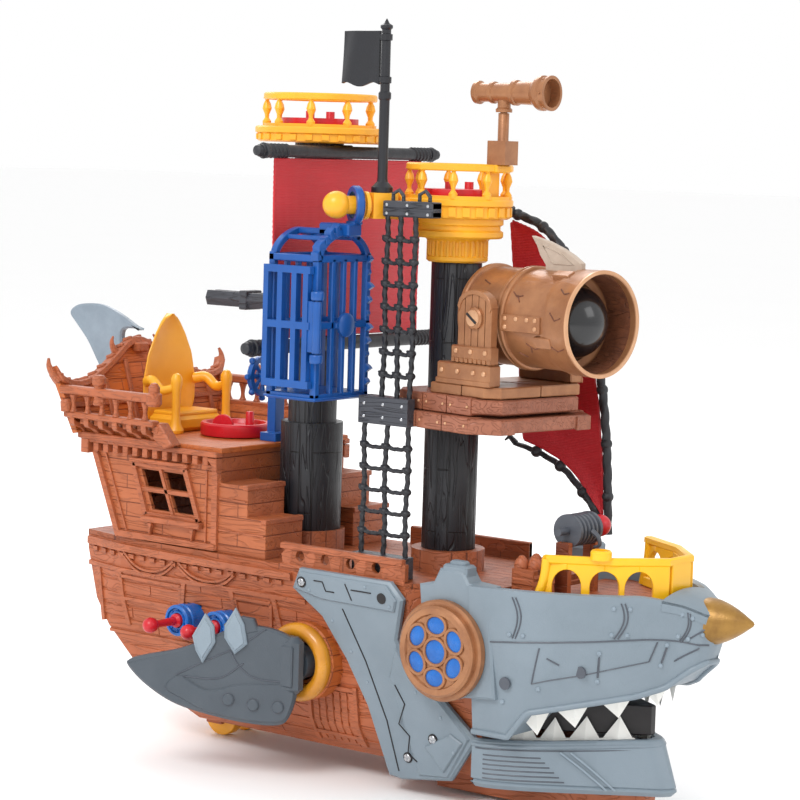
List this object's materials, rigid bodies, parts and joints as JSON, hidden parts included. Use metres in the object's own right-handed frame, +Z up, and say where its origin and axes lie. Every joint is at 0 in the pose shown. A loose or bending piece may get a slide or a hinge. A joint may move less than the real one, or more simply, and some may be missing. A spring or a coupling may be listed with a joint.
{
  "type": "toy boat",
  "caption": "Toy pirate ship with a chomping shark bow, masts with nests, sails, deck cannon, hanging cage, swinging side fins and rolling wheels.",
  "frame": {"origin": "on the floor, under the middle of the ship's length and width", "axes": "+X points to the bow, +Y to port, +Z up"},
  "size_m": [0.4981, 0.2416, 0.42],
  "materials": {
    "brown_plastic": "moulded wood grain",
    "orange_plastic": "moulded wood grain",
    "gray_plastic": "satin moulded",
    "yellow_plastic": "moulded",
    "red_plastic": "moulded",
    "blue_plastic": "moulded",
    "black_plastic": "moulded wood grain",
    "dark_plastic": "moulded",
    "copper_plastic": "metallic paint",
    "deck_plastic": "moulded planks with copper wash",
    "gold_plastic": "metallic paint",
    "white_plastic": "moulded",
    "sail_sheet": "thin stitched sheet",
    "steel": "plain"
  },
  "bodies": {
    "ship": {"starboard_hull": "brown_plastic", "port_hull": "brown_plastic", "keel_shoe": "brown_plastic", "main_deck": "brown_plastic", "cabin": "brown_plastic", "castle_deck": "orange_plastic", "stern_wall": "orange_plastic", "captain_chair": "yellow_plastic", "rear_mast": "black_plastic", "fore_mast": "black_plastic", "top_nest": "yellow_plastic", "fore_nest": "yellow_plastic", "rear_yards": "black_plastic", "rear_sail": "sail_sheet", "jib_spar": "black_plastic", "jib_sail": "sail_sheet", "cannon_platform": "deck_plastic", "cannon_bracket": "copper_plastic", "telescope_post": "copper_plastic", "boom": "yellow_plastic", "ladder_boards": "dark_plastic", "rope_nets": "black_plastic", "twin_launcher": "dark_plastic", "neck_plates": "gray_plastic", "lower_jaw": "gray_plastic", "lower_teeth": "white_plastic", "fin_rings": "yellow_plastic", "side_cannons": "blue_plastic", "wheel_post": "blue_plastic", "hull_screws": "steel", "pivot_pins": "steel", "flagpole": "black_plastic"},
    "upper_jaw": {"shark_head": "gray_plastic", "bow_deck": "brown_plastic", "bow_rail": "yellow_plastic", "nose_cap": "gold_plastic", "upper_teeth": "white_plastic", "eye_covers": "copper_plastic", "eye_lenses": "blue_plastic"},
    "winch": {"winch_drum": "gray_plastic"},
    "pad": {"power_pad": "red_plastic"},
    "helm": {"ship_wheel": "blue_plastic"},
    "tail": {"tail_fin": "gray_plastic"},
    "starboard_flipper": {"starboard_fin": "gray_plastic"},
    "port_flipper": {"port_fin": "gray_plastic"},
    "front_running_gear": {"front_axle": "steel", "front_wheels": "yellow_plastic"},
    "rear_running_gear": {"rear_axle": "steel", "rear_wheels": "yellow_plastic"},
    "top_turntable": {"top_pad": "red_plastic"},
    "fore_turntable": {"fore_pad": "red_plastic"},
    "spyglass": {"telescope": "copper_plastic"},
    "cannon": {"cannon_barrel": "copper_plastic", "cannon_spring": "steel"},
    "ball": {"cannon_ball": "black_plastic"},
    "trigger": {"firing_fin": "gray_plastic"},
    "cage": {"cage_frame": "blue_plastic"},
    "door": {"cage_door": "blue_plastic"},
    "dart_aft": {"aft_dart": "red_plastic"},
    "dart_fore": {"fore_dart": "red_plastic"}
  },
  "joints": [
    {"name": "jaw_hinge", "type": "hinge", "parent": "ship", "child": "upper_jaw", "pos_m": [0.1, 0, 0.088], "axis": [0, -1, 0], "range_deg": [0, 16]},
    {"name": "pad_turn", "type": "hinge", "parent": "ship", "child": "pad", "pos_m": [-0.11, 0, 0.178], "axis": [0, 0, 1], "range_deg": [0, 80]},
    {"name": "winch_turn", "type": "hinge", "parent": "upper_jaw", "child": "winch", "pos_m": [0.137, 0, 0.15], "axis": [0, 1, 0], "continuous": true},
    {"name": "helm_turn", "type": "hinge", "parent": "ship", "child": "helm", "pos_m": [-0.09, 0, 0.215], "axis": [1, 0, 0], "continuous": true},
    {"name": "tail_swing", "type": "hinge", "parent": "ship", "child": "tail", "pos_m": [-0.2, 0, 0.21], "axis": [0, 0, 1], "range_deg": [-20, 20]},
    {"name": "starboard_fin_swing", "type": "hinge", "parent": "ship", "child": "starboard_flipper", "pos_m": [-0.003, -0.06, 0.066], "axis": [0, -1, 0], "range_deg": [0, 24]},
    {"name": "port_fin_swing", "type": "hinge", "parent": "ship", "child": "port_flipper", "pos_m": [-0.003, 0.06, 0.066], "axis": [0, -1, 0], "range_deg": [0, 24]},
    {"name": "front_wheel_roll", "type": "hinge", "parent": "ship", "child": "front_running_gear", "pos_m": [0.1, 0, 0.01], "axis": [0, 1, 0], "continuous": true},
    {"name": "rear_wheel_roll", "type": "hinge", "parent": "ship", "child": "rear_running_gear", "pos_m": [-0.105, 0, 0.012], "axis": [0, 1, 0], "continuous": true},
    {"name": "top_pad_turn", "type": "hinge", "parent": "ship", "child": "top_turntable", "pos_m": [-0.051, 0, 0.361], "axis": [0, 0, 1], "continuous": true},
    {"name": "fore_pad_turn", "type": "hinge", "parent": "ship", "child": "fore_turntable", "pos_m": [0.05, 0, 0.324], "axis": [0, 0, 1], "continuous": true},
    {"name": "spyglass_turn", "type": "hinge", "parent": "ship", "child": "spyglass", "pos_m": [0.0786, 0, 0.374], "axis": [0, 0, 1], "range_deg": [-120, 120]},
    {"name": "cannon_tilt", "type": "hinge", "parent": "ship", "child": "cannon", "pos_m": [0.09978, -0.00788, 0.262], "axis": [-0.1564, -0.9877, 0], "range_deg": [-8, 20]},
    {"name": "ball_slide", "type": "slide", "parent": "cannon", "child": "ball", "axis": [0.9877, -0.1564, 0], "range_m": [0, 0.03]},
    {"name": "trigger_press", "type": "slide", "parent": "cannon", "child": "trigger", "axis": [0, 0, -1], "range_m": [0, 0.003], "stiffness_N_per_m": 120, "springref_m": -0.001},
    {"name": "cage_swing", "type": "hinge", "parent": "ship", "child": "cage", "pos_m": [0.0182, -0.0509, 0.319], "axis": [1, 0, 0], "range_deg": [-8, 8]},
    {"name": "cage_door_hinge", "type": "hinge", "parent": "cage", "child": "door", "pos_m": [0.019, -0.082, 0.253], "axis": [0, 0, 1], "range_deg": [0, 100]},
    {"name": "aft_dart_slide", "type": "slide", "parent": "ship", "child": "dart_aft", "axis": [0, -1, 0], "range_m": [0, 0.03]},
    {"name": "fore_dart_slide", "type": "slide", "parent": "ship", "child": "dart_fore", "axis": [0, -1, 0], "range_m": [0, 0.03]}
  ],
  "couplings": [
    {"joint": "pad_turn", "follows": "jaw_hinge", "ratio": 4.5}
  ]
}
